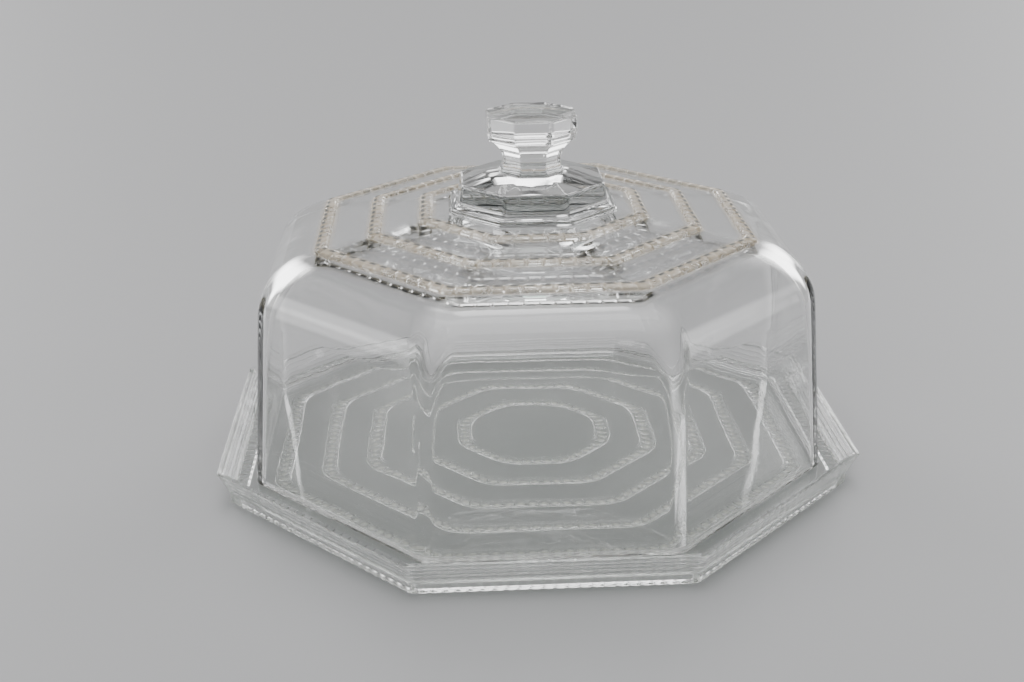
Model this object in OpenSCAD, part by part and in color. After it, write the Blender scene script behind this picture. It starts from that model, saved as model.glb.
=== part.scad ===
// Octagonal glass cake cover with a knob, standing in a low octagonal glass tray.
// Millimetres. The origin is the middle of the plane the tray stands on, +Z is up,
// and the flat sides face X, Y and the diagonals. A width across the flat sides is
// twice an apothem: the distance from the middle axis to a flat side.

/* [Tray] */
// Width of the tray across its flat sides, at the lip
tray_w = 285; // [282:1:300]
// Height of the lip above the table
tray_h = 15.6; // [14:0.2:18]
// Height of the floor that the cover stands on
floor_z = 6.5; // [6:0.1:7.5]
// Thickness of the floor between the ribs under it
floor_t = 4.9; // [4:0.1:5.2]
// How far the rim leans out on each side between foot and lip
rim_flare = 5; // [3:0.5:6]
// Width of the flat top of the lip
lip_w = 3; // [2.5:0.1:4]
// Number of ridges that run round the outside of the rim
ridge_count = 5; // [3:1:6]
// Distance between neighbouring rib rings under the floor
tray_rib_pitch = 20.2; // [18:0.2:21]
// Width of each rib ring under the floor
tray_rib_w = 7; // [5:0.5:8]

/* [Cover] */
// Width of the cover across its flat sides, at its foot
cover_w = 253; // [248:1:256]
// How far the walls lean in as they rise, in degrees
wall_draft = 4.4; // [3:0.2:5]
// Thickness of the pressed glass wall
wall_t = 4.5; // [4:0.1:6]
// Outside radius of the shoulder
shoulder_r = 27; // [24:1:29]
// Height of the middle of the shoulder's curve above the table
shoulder_z = 82.2; // [74:0.2:92]
// Slope of the crown's outside in degrees
crown_slope = 8.4; // [7:0.2:10]
// Slope of the flatter ceiling inside the crown in degrees
ceiling_slope = 3.5; // [2:0.5:6]
// Thickness of the crown at its outermost bead ring
crown_t = 7; // [6:0.2:8]
// Apothem of the outermost bead ring on the crown
bead_ring_a = 92.8; // [88:0.2:94]
// Distance between neighbouring bead rings
bead_ring_pitch = 22.5; // [20:0.5:23]
// Width of a bead ring
bead_w = 5.6; // [4:0.2:6]
// Height of a bead above the crown
bead_h = 1.4; // [0.8:0.1:2]
// Length of one bead along its ring
bead_pitch = 6.4; // [5:0.1:8]

/* [Knob] */
// Width of the knob's head across its flat sides
head_w = 40; // [36:0.5:44]
// Height of the knob's head
head_h = 11.2; // [10:0.2:15]
// Width of the narrowest part of the neck across its flat sides
neck_w = 25.6; // [22:0.2:28]
// Radius of the hollow curve round the neck
neck_curve_r = 11; // [10.6:0.2:12]
// Width of the boss across its flat sides, at its bottom
boss_w = 73; // [66:0.5:76]
// Width of the boss across its flat sides, at its top edge
boss_top_w = 63.2; // [56:0.2:65]
// Height of the boss at its top edge
boss_h = 12.3; // [10:0.1:14]
// Height of the upright edge round the boss's bottom
plinth_h = 2.3; // [1.5:0.1:3]

/* [Hidden] */

glass = [0.80, 0.84, 0.82, 0.45];
tray_glass = [0.74, 0.78, 0.75, 0.45];

half_side = 22.5;                 // half the angle that one side of an octagon spans
side_ratio = 2 * tan(half_side);  // length of one side divided by the apothem
reach = 400;                      // longer than anything that is cut
groove_w = 0.8;                   // width of the groove between two beads
arc_steps = 12;                   // flat stretches that make up one rounded edge

// Tray, as apothems and heights
lip_a = tray_w / 2;
foot_a = lip_a - rim_flare;
inner_lip_a = lip_a - lip_w;
floor_under_z = floor_z - floor_t;
foot_band_h = 4.6;                // the plain band below the lowest ridge
foot_ring_a = foot_a - tray_rib_w / 2;
ridge_h = (tray_h - foot_band_h) / ridge_count;
ridge_d = 0.6;                    // how far each ridge stands out
floor_round = 5;                  // radius where the floor turns up into the rim
rib_lift = 0.3;                   // the inner rib rings stay just off the table
tray_bead_pitch = 5;
foot_groove_d = 2.5;              // how deep the grooves notch the outer edge of the foot ring
tray_ring_count = 6;

// Cover
cover_a = cover_w / 2;
shoulder_x = cover_a
    - (shoulder_r + (shoulder_z - floor_z) * sin(wall_draft)) / cos(wall_draft);
inner_r = shoulder_r - wall_t;    // inside radius of the shoulder
ceiling_z = crown_height(bead_ring_a) - crown_t / cos(crown_slope)
    + bead_ring_a * tan(ceiling_slope);
wall_reach = (cover_a - wall_t) * cos(wall_draft) + floor_z * sin(wall_draft) - inner_r;
ceiling_reach = ceiling_z * cos(ceiling_slope) - inner_r;
inner_x = (wall_reach * cos(ceiling_slope) - ceiling_reach * sin(wall_draft))
    / cos(wall_draft + ceiling_slope);
inner_z = (ceiling_reach * cos(wall_draft) - wall_reach * sin(ceiling_slope))
    / cos(wall_draft + ceiling_slope);
bead_rings = [for (i = [0:2]) bead_ring_a - i * bead_ring_pitch];
pad_a = boss_w / 2 + 1;
pad_z = crown_height(pad_a);

// Knob
boss_z = pad_z + boss_h;
boss_side = 10;                   // lean of the boss's sides in degrees
flare_r = 3.4;                    // hollow curve between the boss's sides and its plinth
flare_x = boss_w / 2 - 0.3;
neck_rise = 8.6;                  // from the boss's top edge up to the narrowest place
head_rise = 9.6;                  // from there up to the underside of the head
neck_x = neck_w / 2 + neck_curve_r;
neck_z = boss_z + neck_rise;
neck_foot = 28;                   // how far round its curve the neck goes down, in degrees
head_z = neck_z + head_rise;
under_head = asin((head_z - neck_z) / neck_curve_r);
head_a = head_w / 2;
head_top_z = head_z + head_h;
head_round = 1.2;
bevel = [0.7, 3.6];               // slight bevel round the bottom of the head: depth, height

// Height of the crown's outer face at an apothem, or of a face raised by lift above it
function crown_height(a, lift = 0) =
    shoulder_z + (shoulder_x - a) * tan(crown_slope) + (shoulder_r + lift) / cos(crown_slope);

// Points along an arc round [x, z], both ends included
function arc(x, z, r, from, to, steps = arc_steps) =
    [for (i = [0:steps]) let (t = from + (to - from) * i / steps) [x + r * cos(t), z + r * sin(t)]];

// Eight-sided prism between two heights
module octagon(apothem, low, high) {
    translate([0, 0, low]) rotate([0, 0, half_side])
        cylinder(r = apothem / cos(half_side), h = high - low, $fn = 8);
}

// Eight-sided ring between two apothems and two heights
module octagon_ring(inner, outer, low, high) {
    difference() {
        octagon(outer, low, high);
        octagon(inner, low - 1, high + 1);
    }
}

// Eight-sided solid whose half section, through the middle of a flat side, is the points
module octagon_lathe(points) {
    last = len(points) - 1;
    outline = concat(points, [for (i = [last:-1:0]) [-points[i].x, points[i].y]]);
    intersection_for (turn = [0:45:135])
        rotate([90, 0, turn]) linear_extrude(height = reach, center = true) polygon(outline);
}

// Grooves across a ring that part it into beads, with a bead at each corner
module bead_grooves(apothem, width, pitch, low, high) {
    side = apothem * side_ratio;
    count = round(side / pitch);
    for (turn = [0:45:315], i = [0:count - 1]) rotate([0, 0, turn])
        groove([apothem, ((i + 0.5) / count - 0.5) * side], width, low, high);
}

module groove(middle, width, low, high) {
    translate([middle.x - width, middle.y - groove_w / 2, low])
        cube([2 * width, groove_w, high - low]);
}

// Half section of the cover's outside, from its foot to the pad under the knob, grown by grow
function cover_section(grow) = concat(
    [[cover_a + floor_z * tan(wall_draft) + grow / cos(wall_draft), 0]],
    arc(shoulder_x, shoulder_z, shoulder_r + grow, wall_draft, 90 - crown_slope),
    [[pad_a, crown_height(pad_a, grow)]]);

// Half section of the cover's hollow, whose ceiling is flatter than the crown
function cover_hollow() = concat(
    [[cover_a - wall_t + floor_z * tan(wall_draft), 0]],
    arc(inner_x, inner_z, inner_r, wall_draft, 90 - ceiling_slope),
    [[0, ceiling_z]]);

// Bead rings on the crown, whose tops follow its slope
module crown_beads() {
    difference() {
        intersection() {
            octagon_lathe(cover_section(bead_h));
            for (a = bead_rings) octagon_ring(a - bead_w / 2, a + bead_w / 2, shoulder_z, reach);
        }
        octagon_lathe(cover_section(-wall_t / 2));
        for (a = bead_rings)
            bead_grooves(a, bead_w, bead_pitch, crown_height(a, bead_h / 3), reach);
    }
}

module dome_cover() {
    color(glass) union() {
        difference() {
            octagon_lathe(cover_section(0));
            octagon_lathe(cover_hollow());
            octagon(reach, -1, floor_z);
        }
        crown_beads();
    }
}

module knob() {
    color(glass) octagon_lathe(concat(
        [[boss_w / 2, pad_z], [boss_w / 2, pad_z + plinth_h]],
        arc(flare_x, pad_z + plinth_h + flare_r, flare_r, 270, 180 + boss_side, 5),
        [[boss_top_w / 2, boss_z]],
        arc(neck_x, neck_z, neck_curve_r, 180 + neck_foot, 180 - under_head),
        [[head_a - bevel.x, head_z], [head_a, head_z + bevel.y]],
        arc(head_a - head_round, head_top_z - head_round, head_round, 0, 90, 4)));
}

// Half section of the tray's outside: a plain band, then a rim whose ridges each end in a
// small ledge, as [share of the ridge's height, share of its depth that it stands out]
function tray_section() =
    let (ridge = [[0, 0], [0.3, 1], [1, 1]])
    concat([[foot_a, floor_under_z], [foot_a, foot_band_h]],
           [for (i = [0:ridge_count - 1], p = ridge)
               [foot_a + rim_flare * (i + p.x) / ridge_count + ridge_d * (p.y - 1),
                foot_band_h + ridge_h * (i + p.x)]]);

// Half section of the tray's hollow: a flat floor that turns up into a leaning wall
function tray_hollow() =
    let (lean = atan(rim_flare / tray_h),
         turn_x = inner_lip_a - (tray_h - floor_z) * tan(lean) - floor_round * tan((90 - lean) / 2))
    concat(arc(turn_x, floor_z + floor_round, floor_round, 270, 360 - lean, 4),
           [[inner_lip_a, tray_h], [inner_lip_a, tray_h + 1]]);

module tray_rib(apothem, low) {
    octagon_ring(apothem - tray_rib_w / 2, apothem + tray_rib_w / 2, low, floor_under_z + 0.5);
}

module serving_tray() {
    color(tray_glass) difference() {
        union() {
            octagon_lathe(tray_section());
            difference() {
                tray_rib(foot_ring_a, 0);
                bead_grooves(foot_a, foot_groove_d, tray_bead_pitch, -1, floor_under_z - 0.5);
            }
            for (i = [1:tray_ring_count - 1]) tray_rib(foot_ring_a - i * tray_rib_pitch, rib_lift);
        }
        octagon_lathe(tray_hollow());
    }
}

serving_tray();
dome_cover();
knob();
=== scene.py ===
"""An octagonal glass cake cover with a knob, on a low octagonal glass tray. All sizes in metres.

Each piece is one closed mesh: an eight-sided lathe with soft corners, whose section is a path of
lines and arcs, and whose beads, grooves and ripples are raised along the surface's own normals.
"""
import math

import bpy
import numpy as np
from mathutils import Matrix, Vector, noise


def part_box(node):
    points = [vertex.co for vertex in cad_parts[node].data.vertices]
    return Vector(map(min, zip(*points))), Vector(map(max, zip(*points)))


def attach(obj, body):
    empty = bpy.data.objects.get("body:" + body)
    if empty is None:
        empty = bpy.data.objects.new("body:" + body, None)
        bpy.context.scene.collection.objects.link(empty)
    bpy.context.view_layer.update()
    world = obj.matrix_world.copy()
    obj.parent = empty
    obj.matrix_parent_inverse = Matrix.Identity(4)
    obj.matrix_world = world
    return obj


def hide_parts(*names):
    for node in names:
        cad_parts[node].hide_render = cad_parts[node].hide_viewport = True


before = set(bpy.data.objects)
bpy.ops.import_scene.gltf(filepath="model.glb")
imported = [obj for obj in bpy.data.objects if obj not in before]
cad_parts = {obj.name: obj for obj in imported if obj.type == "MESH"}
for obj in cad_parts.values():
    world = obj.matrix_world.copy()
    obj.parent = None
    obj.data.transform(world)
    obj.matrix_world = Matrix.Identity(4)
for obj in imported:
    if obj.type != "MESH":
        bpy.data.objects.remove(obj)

MM = 0.001
SIDES = 8
HALF_SIDE = math.pi / SIDES  # half the angle that one side of an octagon spans
TINY = 1e-12                 # keeps a division from being by zero

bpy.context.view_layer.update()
TRAY_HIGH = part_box("serving_tray")[1]
COVER_LOW, COVER_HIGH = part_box("dome_cover")

# Tray, as apothems (middle axis to flat side) and heights
LIP_A, LIP_Z = TRAY_HIGH.x, TRAY_HIGH.z
FLOOR_Z = COVER_LOW.z
UNDER_FLOOR_Z = 1.6 * MM
FOOT_A = LIP_A - 5 * MM
FOOT_BAND_Z = 4.6 * MM
LIP_W = 3 * MM
RIDGES = 5
RIDGE_D = 0.6 * MM
TRAY_RIB_W = 7 * MM
TRAY_RIB_PITCH = 20.2 * MM
TRAY_RIB_H = 1.3 * MM
TRAY_BEADS = (23, 19, 16, 12, 9, 6)  # beads on one side of each ring, from the foot ring inwards
PEARL_W = 0.55 * TRAY_RIB_W          # the round beads along the middle of each inner rib
PEARL_SHARE = 0.6                    # how much of a rib's height its beads make up
NOTCH_D = 0.25 * MM                  # depth of the notches round the foot ring
NOTCH_W = 0.14                       # their width, as a share of their spacing
TRAY_COLUMNS = 160                   # points along one side

# Cover, whose walls lean in as they rise
COVER_A = COVER_HIGH.x
WALL_T = 4.5 * MM
DRAFT = math.radians(4.4)
SHOULDER_R = 27 * MM
SHOULDER_Z = 82.2 * MM
SHOULDER_A = COVER_A - (SHOULDER_R + (SHOULDER_Z - FLOOR_Z) * math.sin(DRAFT)) / math.cos(DRAFT)
SLOPE = math.radians(8.4)
CROWN_T = 7.0 * MM  # thickness of the crown at its outermost bead ring
CEILING_SLOPE = math.radians(3.5)
PAD_A = 37.5 * MM
PAD_Z = SHOULDER_Z + (SHOULDER_A - PAD_A) * math.tan(SLOPE) + SHOULDER_R / math.cos(SLOPE)
BEAD_RINGS = ((92.8 * MM, 12), (70.3 * MM, 9), (47.8 * MM, 6))  # apothem, beads on one side
BEAD_W = 5.6 * MM
BEAD_H = 1.4 * MM
FOOT_GAP = 0.05 * MM  # the cover's foot touches the floor only here and there
COVER_COLUMNS = 144

# Radii of the cover's corners: outside at the foot and at the outermost bead ring, then how much
# is added in the shoulder and between bead rings; inside at the foot, then what the ceiling adds
FOOT_CORNER = 8 * MM
RING_CORNER = 5 * MM
SHOULDER_CORNER = 9 * MM
BETWEEN_CORNER = 12 * MM
INNER_CORNER = 7 * MM
CEILING_CORNER = 20 * MM

# Painted shade on a bead, a dark dash that stands in for shade: how far from the bead's middle line
# it lies, and its half width, both as shares of half the bead's width
SHADE_DASH_PLACE = 0.45
SHADE_DASH_W = 0.42

# Knob
HEAD_A = 20 * MM
NECK_A = 12.8 * MM
NECK_R = 11 * MM
BOSS_TOP_A = 31.6 * MM
BOSS_A = 36.5 * MM
PLINTH_H = 2.3 * MM
BOSS_Z = PAD_Z + 12.3 * MM
NECK_Z = BOSS_Z + 8.6 * MM  # its narrowest place
HEAD_LOW_Z = NECK_Z + 9.6 * MM
HEAD_Z = HEAD_LOW_Z + 11.2 * MM
BOSS_SIDE = 10   # how far the boss's sides lean in, in degrees
BOSS_SLOPE = 11  # how far its top falls, in degrees
KNOB_COLUMNS = 28

# Unevenness of the pressed glass: depth, size across and seed of each layer of ripples
COVER_WAVES = ((0.20 * MM, 45 * MM, 1), (0.03 * MM, 18 * MM, 2))
KNOB_WAVES = ((0.06 * MM, 9 * MM, 3),)
TRAY_WAVES = ((0.10 * MM, 30 * MM, 5),)
OUTER_WAVES = 0.15  # share of the cover's ripples that its outside has

# Glass, film, and the dark shade painted on the beads
GLASS_IOR = 1.52
BODY_COLOUR = (0.72, 0.80, 0.76, 1)
# Dark colour of the shade painted on the beads, and how fully that painted shade covers the glass
PAINTED_SHADE_COLOUR = (0.05, 0.055, 0.05, 1)
PAINTED_SHADE_COVER = 0.95
WARM_FILM = (0.78, 0.64, 0.45, 1)
PALE_FILM = (0.92, 0.90, 0.85, 1)

# Bright patches of the surround: azimuth and elevation of the middle, angle from the middle to
# where it starts to fade and to where it ends, all in degrees, and brightness
SOFT_PATCHES = (
    (122, 19, 7, 18, 5.3),
    (55, 19, 7, 18, 5.3),
    (90, 52, 4, 12, 5.0),
    (-112, 40, 8, 25, 2.0),
    (178, 14, 4, 12, 5.0),
    (2, 14, 4, 12, 5.0),
    (0, 90, 10, 45, 2.1),
)
DARKEST = 0.035  # brightness of the surround where it is darkest
BOUNCES = 24     # light crosses and mirrors in many faces before it leaves the glass


# ---- sections -------------------------------------------------------------------------------

def line(start, end, spacing=3 * MM, ease=0.4 * MM):
    """Points on a straight stretch, with one more close to each end to keep its edges crisp,
    unless the stretch is short for that ease."""
    start, end = np.array(start, float), np.array(end, float)
    length = np.linalg.norm(end - start)
    steps = max(1, round(length / spacing))
    shares = set(np.linspace(0, 1, steps + 1))
    if length > 3 * ease:
        shares |= {ease / length, 1 - ease / length}
    return [start + (end - start) * share for share in sorted(shares)]


def on_arc(centre, radius, angle):
    """The point on an arc at an angle in degrees."""
    turn = math.radians(angle)
    return np.array((centre[0] + radius * math.cos(turn), centre[1] + radius * math.sin(turn)))


def arc(centre, radius, first, last, steps=8):
    """Points on an arc, from one angle to another in degrees."""
    return [on_arc(centre, radius, angle) for angle in np.linspace(first, last, steps + 1)]


def path(*parts):
    """One row of (apothem, height) for each point of the parts, without repeated points."""
    rows = []
    for part in parts:
        for point in part:
            if not rows or np.linalg.norm(point - rows[-1]) > 0.02 * MM:
                rows.append(np.array(point, float))
    return np.array(rows)


def across_ring(places, ring_a, width, count):
    """The apothems in places, with those near a raised ring replaced by closer ones across it."""
    clear = {a for a in places if abs(a - ring_a) > 0.6 * width}
    close = {ring_a + width / 2 * math.cos(t) for t in np.linspace(0, math.pi, count)}
    return clear | close | {ring_a - 0.56 * width, ring_a + 0.56 * width}


# ---- eight-sided lathe ----------------------------------------------------------------------

def lathe_grid(rows, corner, columns):
    """Places of every point (row, column, xyz), and each column's place along its side, -1 to 1.
    corner is the radius of each row's corners, which never take up the whole side."""
    share = np.linspace(-1, 1, columns, endpoint=False) + 1 / columns
    apothem = rows[:, :1]
    corner = np.minimum(corner, 0.9 * rows[:, 0])[:, None]
    half_length = apothem * math.tan(HALF_SIDE)
    flat = (apothem - corner) * math.tan(HALF_SIDE)
    along = share[None, :] * half_length
    past = np.clip((np.abs(along) - flat) / np.maximum(half_length - flat, TINY), 0, 1)
    turn = past * HALF_SIDE
    out = apothem - corner + corner * np.cos(turn)
    side = np.where(past > 0, np.sign(along) * (flat + corner * np.sin(turn)), along)
    grid = np.empty((len(rows), SIDES * columns, 3))
    for k in range(SIDES):
        c, s = math.cos(2 * k * HALF_SIDE), math.sin(2 * k * HALF_SIDE)
        part = slice(k * columns, (k + 1) * columns)
        grid[:, part, 0] = out * c - side * s
        grid[:, part, 1] = out * s + side * c
        grid[:, part, 2] = rows[:, 1:]
    return grid, np.tile(share, SIDES)


def normals(grid):
    """Unit normals of a grid whose columns close round the axis."""
    along = np.roll(grid, -1, axis=1) - np.roll(grid, 1, axis=1)
    down = np.gradient(grid, axis=0)
    cross = np.cross(down, along)
    return cross / np.maximum(np.linalg.norm(cross, axis=2, keepdims=True), TINY)


def off_bead(share, count):
    """How far each column is from the middle of its bead, 0, to the groove beside it, 1."""
    return np.abs(2 * (((share[None, :] + 1) / 2 * count + 0.5) % 1) - 1)


def bead_shape(rows, share, ring_a, width, count, square=4, gap=10):
    """Height from 0 to 1 of a ring of pillow-shaped beads, with one bead at each corner. A higher
    square or gap makes them flatter across or along the ring."""
    across = np.abs(rows[:, :1] - ring_a) / (width / 2)
    return np.sqrt(np.clip(1 - across ** square - off_bead(share, count) ** gap, 0, 1))


def ripple(grid, size, seed):
    """Smooth noise from -1 to 1 over the grid's points, size metres across."""
    shift = Vector((seed * 7.3, seed * 3.1, seed * 5.7))
    points = (grid / size).reshape(-1, 3)
    values = [noise.noise(Vector(p) + shift) for p in points]
    return np.array(values).reshape(grid.shape[:2])


def waves(grid, layers):
    """How far the ripples of all layers raise each point of the grid."""
    return sum(depth * ripple(grid, size, seed) for depth, size, seed in layers)


def closed_mesh(name, grid, films=None, joint_rows=()):
    """A mesh object from a grid, closed by a point at each end. Faces between two joint rows
    take the second material. films are kept as point attributes for the material."""
    rows, columns = grid.shape[:2]
    count = rows * columns
    ends = [grid[0].mean(axis=0), grid[-1].mean(axis=0)]
    verts = np.vstack((grid.reshape(-1, 3), ends))
    index = np.arange(count).reshape(rows, columns)
    after = np.roll(index, -1, axis=1)
    quads = np.stack((index[:-1], index[1:], after[1:], after[:-1]), axis=2).reshape(-1, 4)
    first = np.stack((np.full(columns, count), index[0], after[0]), axis=1)
    last = np.stack((index[-1], np.full(columns, count + 1), after[-1]), axis=1)
    mesh = bpy.data.meshes.new(name)
    mesh.from_pydata(verts.tolist(), [], quads.tolist() + first.tolist() + last.tolist())
    mesh.polygons.foreach_set("use_smooth", [True] * len(mesh.polygons))
    for key, values in (films or {}).items():
        layer = mesh.attributes.new(key, "FLOAT", "POINT")
        layer.data.foreach_set("value", np.append(values.ravel(), (0, 0)).astype(np.float32))
    for start, end in joint_rows:
        faces = list(range(start * columns, end * columns))
        if start == 0:
            faces += range(len(quads), len(quads) + columns)
        if end == rows - 1:
            faces += range(len(quads) + columns, len(quads) + 2 * columns)
        for face in faces:
            mesh.polygons[face].material_index = 1
    obj = bpy.data.objects.new(name, mesh)
    bpy.context.scene.collection.objects.link(obj)
    return obj


# ---- nodes ----------------------------------------------------------------------------------

def add(tree, kind, place=(0, 0), **values):
    """A new node with its inputs set by name."""
    node = tree.nodes.new(kind)
    node.location = place
    for key, value in values.items():
        node.inputs[key.replace("_", " ")].default_value = value
    return node


def calculate(tree, operation, place, *terms):
    """The result of a sum on terms that are numbers or other nodes' results."""
    node = add(tree, "ShaderNodeMath", place)
    node.operation = operation
    for number, term in enumerate(terms):
        if isinstance(term, bpy.types.NodeSocket):
            tree.links.new(term, node.inputs[number])
        else:
            node.inputs[number].default_value = term
    return node.outputs[0]


def map_range(tree, value, place, before, after, interpolation="LINEAR"):
    """A value moved from one range to another."""
    node = add(tree, "ShaderNodeMapRange", place, From_Min=before[0], From_Max=before[1],
               To_Min=after[0], To_Max=after[1])
    node.interpolation_type = interpolation
    tree.links.new(value, node.inputs["Value"])
    return node.outputs["Result"]


def colour_between(tree, share, place, low, high):
    """A colour that goes from low to high as the share goes from 0 to 1."""
    node = add(tree, "ShaderNodeValToRGB", place)
    node.color_ramp.elements[0].color = low
    node.color_ramp.elements[1].color = high
    tree.links.new(share, node.inputs["Fac"])
    return node.outputs["Color"]


def mix(tree, share, place, first, second):
    """The first shader, with a share of the second."""
    node = add(tree, "ShaderNodeMixShader", place)
    tree.links.new(share, node.inputs["Fac"])
    tree.links.new(first, node.inputs[1])
    tree.links.new(second, node.inputs[2])
    return node.outputs["Shader"]


def noise_texture(tree, coords, place, **values):
    """Smooth noise over the piece."""
    node = add(tree, "ShaderNodeTexNoise", place, **values)
    tree.links.new(coords, node.inputs["Vector"])
    return node.outputs["Fac"]


def attribute(tree, name, place):
    """What the mesh says at each of its points under that name."""
    node = add(tree, "ShaderNodeAttribute", place)
    node.attribute_name = name
    return node.outputs["Fac"]


# ---- materials ------------------------------------------------------------------------------

def empty_material(name):
    """A material with no nodes yet, and its node tree."""
    material = bpy.data.materials.new(name)
    material.use_nodes = True
    material.node_tree.nodes.clear()
    return material, material.node_tree


def polished_surface(tree, coords):
    """Clear glass with faint moulding ripples and fine dulling from use."""
    swirl = noise_texture(tree, coords, (-1200, -300), Scale=85.0, Detail=2.0, Roughness=0.45)
    bump = add(tree, "ShaderNodeBump", (-900, -300), Strength=0.5, Distance=0.06 * MM)
    tree.links.new(swirl, bump.inputs["Height"])
    wear = noise_texture(tree, coords, (-1200, 0), Scale=40.0, Detail=6.0, Roughness=0.7)
    dull = map_range(tree, wear, (-900, 0), (0.45, 0.8), (0.0, 0.03))
    glass = add(tree, "ShaderNodeBsdfPrincipled", (-300, 100), IOR=GLASS_IOR,
                Transmission_Weight=1.0, Base_Color=(1, 1, 1, 1))
    tree.links.new(dull, glass.inputs["Roughness"])
    tree.links.new(bump.outputs["Normal"], glass.inputs["Normal"])
    return glass.outputs["BSDF"]


def add_film_and_painted_shade(tree, coords, surface, residue, film_colour):
    """A surface with a patchy film on it and dark shade painted on it, where the mesh says they lie.
    """
    film = attribute(tree, "film", (-1200, 400))
    painted_shade = attribute(tree, "painted_shade", (-1200, 900))
    patch = noise_texture(tree, coords, (-1200, 650), Scale=140.0, Detail=4.0)
    patchy = calculate(tree, "MULTIPLY", (-900, 500), film, patch)
    haze = calculate(tree, "MULTIPLY", (-700, 500), patchy, residue)
    # Where the painted shade attribute is set, the glass is covered with a dark colour: painted shade
    covered = calculate(tree, "MULTIPLY_ADD", (-700, 750), painted_shade, PAINTED_SHADE_COVER, haze)
    film_and_shade_coat = add(tree, "ShaderNodeBsdfPrincipled", (-300, 500), Roughness=0.6)
    tone = colour_between(tree, painted_shade, (-700, 1000), film_colour, PAINTED_SHADE_COLOUR)
    tree.links.new(tone, film_and_shade_coat.inputs["Base Color"])
    return mix(tree, covered, (0, 300), surface, film_and_shade_coat.outputs["BSDF"])


def lit_through(tree, surface):
    """A surface that lets shadow rays and diffuse light straight through, dimmed where the glass
    is edge on, so that the light it bends doesn't leave a full shadow."""
    edge = add(tree, "ShaderNodeLayerWeight", (-300, -300), Blend=0.35)
    dimmed = colour_between(tree, edge.outputs["Facing"], (-100, -300),
                            (0.93, 0.94, 0.93, 1), (0.25, 0.28, 0.26, 1))
    passed = add(tree, "ShaderNodeBsdfTransparent", (200, -300))
    tree.links.new(dimmed, passed.inputs["Color"])
    rays = add(tree, "ShaderNodeLightPath", (0, 700))
    soft = calculate(tree, "MAXIMUM", (200, 500),
                     rays.outputs["Is Shadow Ray"], rays.outputs["Is Diffuse Ray"])
    return mix(tree, soft, (400, 100), surface, passed.outputs["BSDF"])


def clear_glass(name, depth, residue=0.0, film_colour=None):
    """Pressed glass with a faint grey-green body that shows where the glass is deep, and, if it has
    any residue, with the film that its beads hold and the dark shade painted on them."""
    material, tree = empty_material(name)
    coords = add(tree, "ShaderNodeTexCoord", (-1400, 0)).outputs["Object"]
    surface = polished_surface(tree, coords)
    if residue:
        surface = add_film_and_painted_shade(tree, coords, surface, residue, film_colour)
    body = add(tree, "ShaderNodeVolumeAbsorption", (200, -550), Density=depth, Color=BODY_COLOUR)
    out = add(tree, "ShaderNodeOutputMaterial", (650, 0))
    tree.links.new(lit_through(tree, surface), out.inputs["Surface"])
    tree.links.new(body.outputs["Volume"], out.inputs["Volume"])
    return material


def fused_joint():
    """The hidden face where the knob is fused to the cover: glass on both sides, so it is clear."""
    material, tree = empty_material("fused_joint")
    clear = add(tree, "ShaderNodeBsdfTransparent")
    out = add(tree, "ShaderNodeOutputMaterial", (300, 0))
    tree.links.new(clear.outputs["BSDF"], out.inputs["Surface"])
    return material


# ---- cover ----------------------------------------------------------------------------------

def crown_z(apothem):
    """Height of the crown's outer face."""
    return SHOULDER_Z + (SHOULDER_A - apothem) * math.tan(SLOPE) + SHOULDER_R / math.cos(SLOPE)


def ceiling_z(apothem):
    """Height of the crown's inner face, which is flatter, so the glass is thickest in the middle."""
    ring_a = BEAD_RINGS[0][0]
    return crown_z(ring_a) - CROWN_T / math.cos(SLOPE) + (ring_a - apothem) * math.tan(CEILING_SLOPE)


def crown_rows():
    """Points from the pad down the crown to the shoulder, close together across each bead ring."""
    last = SHOULDER_A + SHOULDER_R * math.sin(SLOPE)
    places = set(np.arange(PAD_A, last, 2.5 * MM)) | {last}
    for ring_a, _ in BEAD_RINGS:
        places = across_ring(places, ring_a, BEAD_W, 17)
    return [np.array((a, crown_z(a))) for a in sorted(places)]


def cover_rows():
    """Rows from the pad over the outside down to the foot, rows from there up the inside to the
    middle of the ceiling."""
    slope, ceiling, draft = math.degrees(SLOPE), math.degrees(CEILING_SLOPE), math.degrees(DRAFT)
    middle = 1 * MM
    foot_r = 1.5 * MM
    foot_z = COVER_LOW.z + FOOT_GAP
    round_z = foot_z + foot_r
    inner_foot_a = COVER_A - WALL_T
    inner_r = SHOULDER_R - WALL_T
    # the inside's curve meets both the inside of the wall and the flatter ceiling
    wall_reach = math.cos(DRAFT) * inner_foot_a + math.sin(DRAFT) * foot_z - inner_r
    ceiling_reach = math.cos(CEILING_SLOPE) * ceiling_z(0) - inner_r
    opening = math.cos(DRAFT + CEILING_SLOPE)
    turn_a = (wall_reach * math.cos(CEILING_SLOPE) - ceiling_reach * math.sin(DRAFT)) / opening
    turn_z = (ceiling_reach * math.cos(DRAFT) - wall_reach * math.sin(CEILING_SLOPE)) / opening
    outer = path(
        line((middle, PAD_Z), (PAD_A, PAD_Z), 6 * MM),
        crown_rows(),
        arc((SHOULDER_A, SHOULDER_Z), SHOULDER_R, 90 - slope, draft, 24),
        line(on_arc((SHOULDER_A, SHOULDER_Z), SHOULDER_R, draft),
             (COVER_A - foot_r * math.tan(DRAFT), round_z)),
        arc((COVER_A - foot_r, round_z), foot_r, 0, -90, 5))
    inner = path(
        arc((inner_foot_a + foot_r, round_z), foot_r, 270, 180, 5),
        line((inner_foot_a - foot_r * math.tan(DRAFT), round_z),
             on_arc((turn_a, turn_z), inner_r, draft)),
        arc((turn_a, turn_z), inner_r, draft, 90 - ceiling, 24),
        line(on_arc((turn_a, turn_z), inner_r, 90 - ceiling), (middle, ceiling_z(0)), 4 * MM))
    return outer, inner


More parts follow.
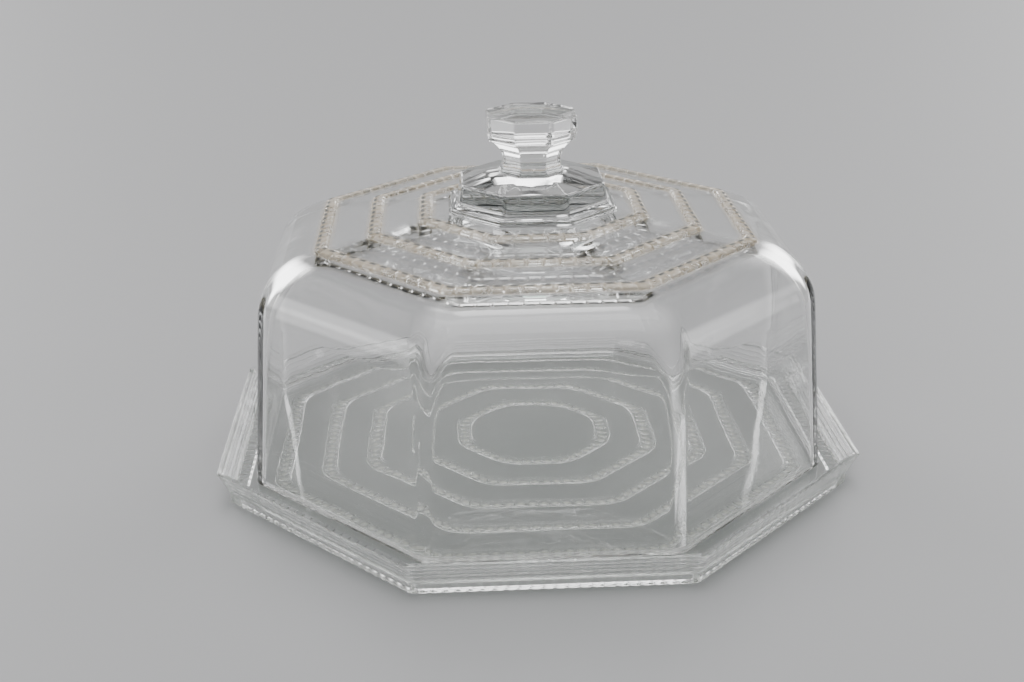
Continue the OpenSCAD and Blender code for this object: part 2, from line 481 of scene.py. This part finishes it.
def cover_corners(rows, outside):
    """Radius of the corners at each row: widest where the shoulder turns, tighter where bead
    rings cross the crown's edges, and much wider inside than outside under the crown."""
    apothem, height = rows[:, 0], rows[:, 1]
    ring_a = BEAD_RINGS[0][0]
    down = np.clip((apothem - ring_a) / (COVER_A - ring_a), 0, 1)
    wall = RING_CORNER + (FOOT_CORNER - RING_CORNER) * down
    shoulder = SHOULDER_CORNER * np.sin(math.pi * down ** 0.8) ** 2
    at_ring = sum(np.exp(-(((apothem - a) / (6 * MM)) ** 2)) for a, _ in BEAD_RINGS)
    crown = RING_CORNER * apothem / ring_a + BETWEEN_CORNER * np.clip(1 - at_ring, 0, 1)
    up = np.clip((height - 55 * MM) / (45 * MM), 0, 1)
    inner = INNER_CORNER + CEILING_CORNER * up ** 1.5
    return np.where(outside, np.where(down > 0, wall + shoulder, crown), inner)


def crown_beads(rows, share, outside):
    """How high the beads stand at each point, how much film is caught there, and where dark shade is
    painted. The painted shade is a short dash along each bead, on its side away from the front."""
    lift, film, painted_shade = np.zeros((3, len(rows), len(share)))
    azimuth = np.repeat(np.arange(SIDES), len(share) // SIDES) * 2 * HALF_SIDE
    three_front_sides = np.sin(azimuth) < -0.3
    away = np.where(three_front_sides, -1, 1)[None, :]
    for ring_a, count in BEAD_RINGS:
        across = (rows[:, :1] - ring_a) / (BEAD_W / 2)
        beads = bead_shape(rows, share, ring_a, BEAD_W, count) * outside[:, None]
        near = np.exp(-((across / 1.15) ** 6)) * outside[:, None]
        # A dark dash of painted shade on each bead's side away from the front, standing in for the
        # dark that the glass shows there
        in_dash = np.exp(-(((across * away - SHADE_DASH_PLACE) / SHADE_DASH_W) ** 4))
        dash = in_dash * np.clip(3.0 - 4 * off_bead(share, count), 0, 1)
        lift += beads * BEAD_H
        film += near * (1 - 0.4 * beads ** 2) * (1 - dash)
        painted_shade += near * dash
    return lift, film, painted_shade


def make_cover():
    """The cover: pad, crown with three bead rings, shoulder, wall, foot and the smooth inside."""
    outer, inner = cover_rows()
    rows = np.vstack((outer, inner))
    outside = np.arange(len(rows)) < len(outer)
    grid, share = lathe_grid(rows, cover_corners(rows, outside), COVER_COLUMNS)
    facing = normals(grid)
    lift, film, painted_shade = crown_beads(rows, share, outside)
    unevenness = np.where(outside, OUTER_WAVES, 1) * np.clip(rows[:, 0] / COVER_A, 0, 1)
    lift += unevenness[:, None] * waves(grid, COVER_WAVES)
    grid += facing * lift[:, :, None]
    pad_rows = int(np.argmax(rows[:, 0] > PAD_A - 0.05 * MM))
    return closed_mesh("glass_cover", grid, {"film": film, "painted_shade": painted_shade}, [(0, pad_rows)])


# ---- knob -----------------------------------------------------------------------------------

def knob_rows():
    """Rows from the middle of the head's top down the outside to the middle of the base."""
    middle = 0.6 * MM
    head_r = 1.2 * MM
    bevel_z, bevel_a = HEAD_LOW_Z + 4.0 * MM, HEAD_A - 0.7 * MM
    under_r = 1.0 * MM
    under_z = HEAD_LOW_Z + under_r
    neck = (NECK_A + NECK_R, NECK_Z)
    neck_up = math.degrees(math.asin((HEAD_LOW_Z - NECK_Z) / NECK_R))
    neck_down = 28
    neck_foot = on_arc(neck, NECK_R, 180 + neck_down) + (0.4 * MM, -0.3 * MM)
    edge_r = 0.9 * MM
    edge_z = BOSS_Z + 0.1 * MM
    plinth_z = PAD_Z + PLINTH_H
    plinth_r = 0.5 * MM
    flare_r = 3.4 * MM
    flare = (BOSS_A - 0.3 * MM, plinth_z + flare_r)
    return path(
        line((middle, HEAD_Z), (HEAD_A - head_r, HEAD_Z), 4 * MM),
        arc((HEAD_A - head_r, HEAD_Z - head_r), head_r, 90, 0, 6),
        line((HEAD_A, HEAD_Z - head_r), (HEAD_A, bevel_z), 3 * MM),
        line((HEAD_A, bevel_z), (bevel_a, under_z), 1.5 * MM),
        arc((bevel_a - under_r, under_z), under_r, 0, -80, 5),
        arc(neck, NECK_R, 180 - neck_up, 180 + neck_down, 26),
        line(neck_foot, (BOSS_TOP_A - edge_r, edge_z), 3 * MM),
        arc((BOSS_TOP_A - edge_r, edge_z - edge_r), edge_r, 90 - BOSS_SLOPE, BOSS_SIDE, 6),
        line((BOSS_TOP_A + 0.2 * MM, BOSS_Z - 1.4 * MM),
             on_arc(flare, flare_r, 180 + BOSS_SIDE), 2 * MM),
        arc(flare, flare_r, 180 + BOSS_SIDE, 265, 8),
        arc((BOSS_A - plinth_r, plinth_z - plinth_r), plinth_r, 80, 0, 4),
        line((BOSS_A, plinth_z - 0.6 * MM), (BOSS_A + 0.2 * MM, PAD_Z + 0.2 * MM), 1 * MM, math.inf),
        line((PAD_A, PAD_Z), (middle, PAD_Z), 5 * MM))


def make_knob():
    """The knob: octagonal head with soft edges, hollow-curved neck, and boss on a low plinth."""
    rows = knob_rows()
    sizes = (0, NECK_A, HEAD_A, BOSS_TOP_A, BOSS_A, PAD_A)
    radii = (0.5 * MM, 1.5 * MM, 1.8 * MM, 3 * MM, 3 * MM, 3 * MM)
    grid, _ = lathe_grid(rows, np.interp(rows[:, 0], sizes, radii), KNOB_COLUMNS)
    above_base = (rows[:, 1] > PAD_Z + MM)[:, None]
    lift = waves(grid, KNOB_WAVES) * above_base
    grid += normals(grid) * lift[:, :, None]
    base = int(np.argmax(rows[:, 1] <= PAD_Z + 0.001 * MM))
    return closed_mesh("glass_knob", grid, None, [(base, len(rows) - 1)])


# ---- tray -----------------------------------------------------------------------------------

def rim_rows():
    """Points down the outside of the rim, over one rounded ridge after another. The first few
    are left out, because the lip's rounded edge takes their place."""
    # share of the ridge's height, and share of its depth that it stands out
    ridge = ((1.00, 0.30), (0.97, 0.75), (0.88, 1.0), (0.5, 1.0), (0.28, 0.88), (0.12, 0.45),
             (0.02, 0.05))
    step_z = (LIP_Z - FOOT_BAND_Z) / RIDGES
    step_a = (LIP_A - FOOT_A) / RIDGES
    points = []
    for level in reversed(range(RIDGES)):
        for up, out in ridge:
            a = FOOT_A + step_a * (level + up) + RIDGE_D * (out - 1)
            points.append(np.array((a, FOOT_BAND_Z + step_z * (level + up))))
    return points[3:]


def under_rows(ribs, foot_in):
    """Points across the underside from the foot ring in to the middle, closer across each rib."""
    places = set(np.arange(2 * MM, foot_in - MM, 4 * MM))
    for rib_a, _ in ribs:
        places = across_ring(places, rib_a, TRAY_RIB_W, 15)
    return [np.array((a, UNDER_FLOOR_Z)) for a in sorted(places, reverse=True)]


def tray_rows(ribs, foot_in, inner_lip, lip_r):
    """Rows from the middle of the floor, over the rim, to the middle of the underside."""
    middle = 2 * MM
    lean = math.atan2(LIP_A - FOOT_A, LIP_Z)
    floor_r = 5 * MM
    turn_a = inner_lip - (LIP_Z - FLOOR_Z) * math.tan(lean)
    turn_a -= floor_r * math.tan((math.pi / 2 - lean) / 2)
    foot_r = 1.0 * MM
    return path(
        line((middle, FLOOR_Z), (turn_a, FLOOR_Z), 6 * MM),
        arc((turn_a, FLOOR_Z + floor_r), floor_r, 270, 360 - math.degrees(lean), 8),
        line((inner_lip - 2 * lip_r * math.tan(lean), LIP_Z - 2 * lip_r),
             (inner_lip - lip_r * math.tan(lean), LIP_Z - lip_r), 2 * MM),
        arc((inner_lip + lip_r, LIP_Z - lip_r), lip_r, 180, 90, 5),
        line((inner_lip + lip_r, LIP_Z), (LIP_A - lip_r, LIP_Z), 1 * MM),
        arc((LIP_A - lip_r, LIP_Z - lip_r), lip_r, 90, 0, 5),
        rim_rows(),
        line((FOOT_A, FOOT_BAND_Z - 0.3 * MM), (FOOT_A, foot_r), 1 * MM),
        arc((FOOT_A - foot_r, foot_r), foot_r, 0, -90, 6),
        line((FOOT_A - foot_r, 0), (foot_in + foot_r, 0), 1 * MM),
        arc((foot_in + foot_r, foot_r), foot_r, 270, 180, 6),
        line((foot_in - 0.5 * MM, UNDER_FLOOR_Z), (foot_in - MM, UNDER_FLOOR_Z), 1 * MM),
        under_rows(ribs, foot_in))


def tray_ribs(rows, share, ribs, inside):
    """How far the ribs and their beads stand out under the floor, and the film that they hold."""
    lift, film = np.zeros((2, len(rows), len(share)))
    for rib_a, count in ribs:
        off = np.abs(rows[:, :1] - rib_a)
        pearls = bead_shape(rows, share, rib_a, PEARL_W, count, 2, 2)
        band = np.sqrt(np.clip(1 - (off / (TRAY_RIB_W / 2)) ** 6, 0, 1))
        near = np.exp(-((off / (0.6 * TRAY_RIB_W)) ** 6))
        height = (1 - PEARL_SHARE) * band + PEARL_SHARE * pearls
        lift += height * TRAY_RIB_H * inside[:, None]
        film += near * (0.1 + 0.9 * pearls ** 3) * inside[:, None]
    return lift, film


def make_tray():
    """The tray: smooth floor, leaning rim with ridges outside, foot ring and ribs underneath."""
    lip_r = 0.7 * MM
    inner_lip = LIP_A - LIP_W
    foot_in = FOOT_A - TRAY_RIB_W
    ribs = [(FOOT_A - TRAY_RIB_W / 2 - i * TRAY_RIB_PITCH, TRAY_BEADS[i])
            for i in range(1, len(TRAY_BEADS))]
    rows = tray_rows(ribs, foot_in, inner_lip, lip_r)
    apothem, height = rows[:, 0], rows[:, 1]
    lip_row = int(np.argmax(apothem >= LIP_A - lip_r))
    below = (np.arange(len(rows)) > lip_row) & (height < FLOOR_Z)
    inside = below & (apothem < foot_in)
    rib_corner = np.interp(apothem, (30 * MM, 115 * MM, foot_in), (20 * MM, 17 * MM, 8 * MM))
    corner = np.where(inside, rib_corner, 2.5 * MM)
    corner = np.where(~below & (apothem < inner_lip), 3.5 * MM, corner)
    grid, share = lathe_grid(rows, corner, TRAY_COLUMNS)
    facing = normals(grid)

    lift, film = tray_ribs(rows, share, ribs, inside)
    place = ((share + 1) / 2 * TRAY_BEADS[0] + 0.5) % 1
    notch = np.exp(-((np.minimum(place, 1 - place) / NOTCH_W) ** 2))
    foot_band = below & (apothem > foot_in) & (height < FOOT_BAND_Z - 0.2 * MM)
    lift -= NOTCH_D * notch[None, :] * foot_band[:, None]
    lift += waves(grid, TRAY_WAVES) * ~below[:, None]
    grid += facing * lift[:, :, None]
    grid[:, :, 2] = np.maximum(grid[:, :, 2], 0)
    return closed_mesh("glass_tray", grid, {"film": film})


# ---- stage ----------------------------------------------------------------------------------

def make_floor():
    """A wide, plain, pale floor, a hair below the tray."""
    half = 6.0
    corners = [(-half, -half, 0), (half, -half, 0), (half, half, 0), (-half, half, 0)]
    mesh = bpy.data.meshes.new("floor")
    mesh.from_pydata(corners, [], [(0, 1, 2, 3)])
    floor = bpy.data.objects.new("floor", mesh)
    floor.location.z = -0.1 * MM
    bpy.context.scene.collection.objects.link(floor)
    material = bpy.data.materials.new("pale_floor")
    material.use_nodes = True
    shader = material.node_tree.nodes["Principled BSDF"]
    shader.inputs["Base Color"].default_value = (0.43, 0.43, 0.44, 1)
    shader.inputs["Roughness"].default_value = 0.55
    mesh.materials.append(material)


def make_lights():
    """A large soft box overhead, facing straight down."""
    light = bpy.data.lights.new("overhead_soft_box", "AREA")
    light.shape = "RECTANGLE"
    light.size, light.size_y = 1.6, 1.6
    light.energy = 12
    obj = bpy.data.objects.new("overhead_soft_box", light)
    obj.location = (0, 0.2, 2.6)
    bpy.context.scene.collection.objects.link(obj)


def direction(azimuth, elevation):
    """Unit vector towards an azimuth and elevation in degrees."""
    azimuth, elevation = math.radians(azimuth), math.radians(elevation)
    level = math.cos(elevation)
    return (level * math.cos(azimuth), level * math.sin(azimuth), math.sin(elevation))


def make_surround():
    """A dim grey room, lighter low down at the back, with soft bright patches like soft boxes."""
    world = bpy.data.worlds.new("studio")
    world.use_nodes = True
    tree = world.node_tree
    coords = add(tree, "ShaderNodeTexCoord", (-1300, 0)).outputs["Generated"]
    split = add(tree, "ShaderNodeSeparateXYZ", (-1100, 0))
    tree.links.new(coords, split.inputs["Vector"])
    low = map_range(tree, split.outputs["Z"], (-900, 200), (0.62, 0.30), (0.08, 0.55), "SMOOTHSTEP")
    back = map_range(tree, split.outputs["Y"], (-900, -200), (-0.35, 0.55), (0.08, 1.0), "SMOOTHSTEP")
    room = calculate(tree, "MULTIPLY", (-500, 0), low, back)
    total = calculate(tree, "MAXIMUM", (-300, 0), room, DARKEST)
    for number, (azimuth, elevation, inner, outer, level) in enumerate(SOFT_PATCHES):
        toward = add(tree, "ShaderNodeVectorMath", (-700, -400 - 200 * number))
        toward.operation = "DOT_PRODUCT"
        toward.inputs[1].default_value = direction(azimuth, elevation)
        tree.links.new(coords, toward.inputs[0])
        fade = (math.cos(math.radians(outer)), math.cos(math.radians(inner)))
        patch = map_range(tree, toward.outputs["Value"], (-500, -400 - 200 * number), fade,
                          (0, level), "SMOOTHSTEP")
        total = calculate(tree, "ADD", (-100, -200 * number), total, patch)
    tree.links.new(total, tree.nodes["Background"].inputs["Color"])
    bpy.context.scene.world = world


def make_camera():
    """A camera a little above the cover, looking down on its front, turned slightly to the left."""
    azimuth, elevation, distance = math.radians(-3.54), math.radians(20.4), 0.653
    pan, tilt, roll = math.radians(0.83), math.radians(-1.61), math.radians(-0.34)
    looked_at = Vector((0, 0, 0.07))
    data = bpy.data.cameras.new("camera")
    data.sensor_width = 36
    data.lens = 49.25
    camera = bpy.data.objects.new("camera", data)
    turn = Matrix.Rotation(azimuth, 4, "Z") @ Matrix.Rotation(math.pi / 2 - elevation, 4, "X")
    back = turn @ Vector((0, 0, 1))
    aim = Matrix.Rotation(pan, 4, "Y") @ Matrix.Rotation(tilt, 4, "X") @ Matrix.Rotation(roll, 4, "Z")
    camera.matrix_world = Matrix.Translation(looked_at + back * distance) @ turn @ aim
    bpy.context.scene.collection.objects.link(camera)
    bpy.context.scene.camera = camera


def let_light_bounce():
    """Enough bounces of each kind that no part of the glass goes dark for want of them."""
    cycles = bpy.context.scene.cycles
    cycles.max_bounces = BOUNCES
    cycles.transmission_bounces = BOUNCES
    cycles.glossy_bounces = BOUNCES


def dress(piece, body, nodes, slot, *materials):
    """Gives a piece its materials and its body, and hides the CAD nodes that it stands for; the
    record slot it is given is not used.
    """
    for material in materials:
        piece.data.materials.append(material)
    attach(piece, body)
    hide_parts(*nodes)


make_camera()
make_floor()
make_lights()
make_surround()
let_light_bounce()

cover_glass = clear_glass("cover_glass", 1.1, 1.1, WARM_FILM)
tray_glass = clear_glass("tray_glass", 2.0, 1.3, PALE_FILM)
knob_glass = clear_glass("knob_glass", 0.4)
joint = fused_joint()

dress(make_tray(), "tray", ["serving_tray"], "tray_glass", tray_glass)
dress(make_cover(), "cover", ["dome_cover"], "cover_glass", cover_glass, joint)
dress(make_knob(), "cover", ["knob"], "knob_glass", knob_glass, joint)
